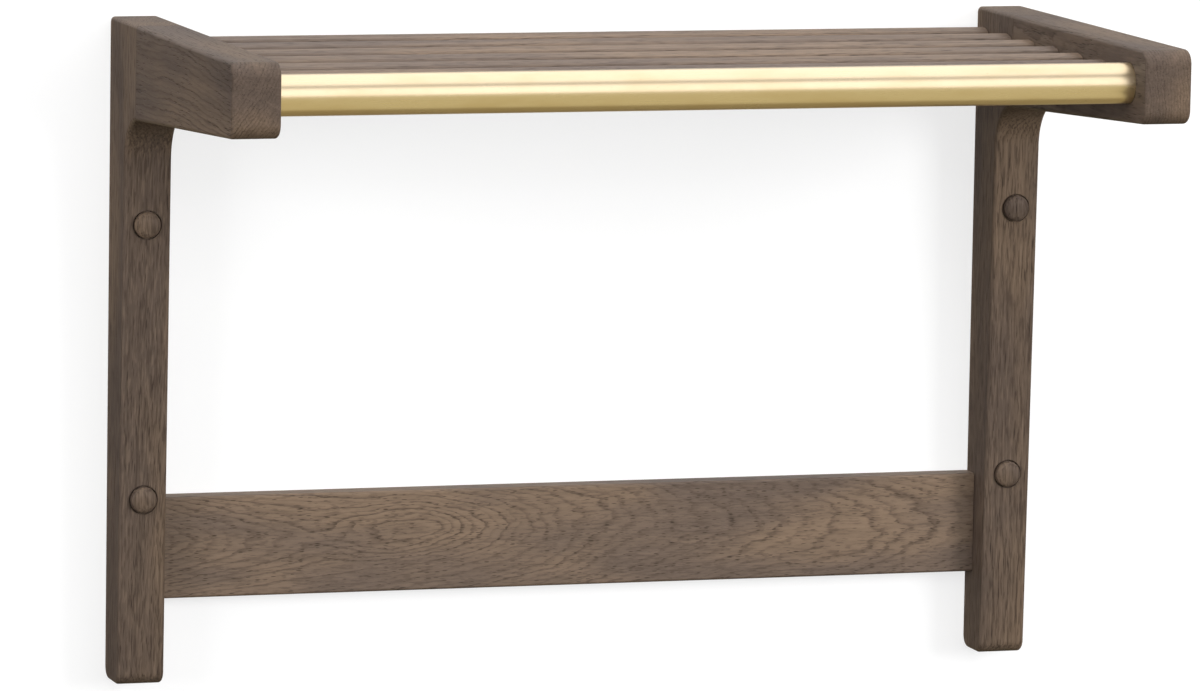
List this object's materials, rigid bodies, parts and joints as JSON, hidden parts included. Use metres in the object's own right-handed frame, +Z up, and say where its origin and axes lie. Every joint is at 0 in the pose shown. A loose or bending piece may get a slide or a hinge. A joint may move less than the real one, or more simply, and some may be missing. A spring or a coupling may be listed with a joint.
{
  "type": "wall-mounted slatted luggage rack",
  "caption": "Fixed wall rack of smoked oak: tapered L brackets carry a slatted shelf with a round brass hanging tube along its front, and a flat lower rail ties the uprights.",
  "frame": {"origin": "middle of the lower rail's back face, in the plane of the wall", "axes": "+X to the right as seen from the room, +Y out of the rack's back into the wall, +Z up"},
  "size_m": [0.6, 0.33, 0.415],
  "materials": {
    "smoked_oak": "oiled, matt, open pores",
    "satin_brass": "satin",
    "beech_dowel": "raw",
    "zinc_steel": "zinc plated"
  },
  "bodies": {
    "root": {"upright_left": "smoked_oak", "upright_right": "smoked_oak", "arm_left": "smoked_oak", "arm_right": "smoked_oak", "slat_1": "smoked_oak", "slat_2": "smoked_oak", "slat_3": "smoked_oak", "slat_4": "smoked_oak", "slat_5": "smoked_oak", "slat_6": "smoked_oak", "wall_rail": "smoked_oak", "plug_left_upper": "smoked_oak", "plug_left_lower": "smoked_oak", "plug_right_upper": "smoked_oak", "plug_right_lower": "smoked_oak", "hanging_tube": "satin_brass", "corner_dowel_left_upper": "beech_dowel", "corner_dowel_left_lower": "beech_dowel", "corner_dowel_right_upper": "beech_dowel", "corner_dowel_right_lower": "beech_dowel", "rail_dowel_left_upper": "beech_dowel", "rail_dowel_left_lower": "beech_dowel", "rail_dowel_right_upper": "beech_dowel", "rail_dowel_right_lower": "beech_dowel", "wall_screw_left_upper": "zinc_steel", "wall_screw_left_lower": "zinc_steel", "wall_screw_right_upper": "zinc_steel", "wall_screw_right_lower": "zinc_steel"}
  },
  "joints": []
}
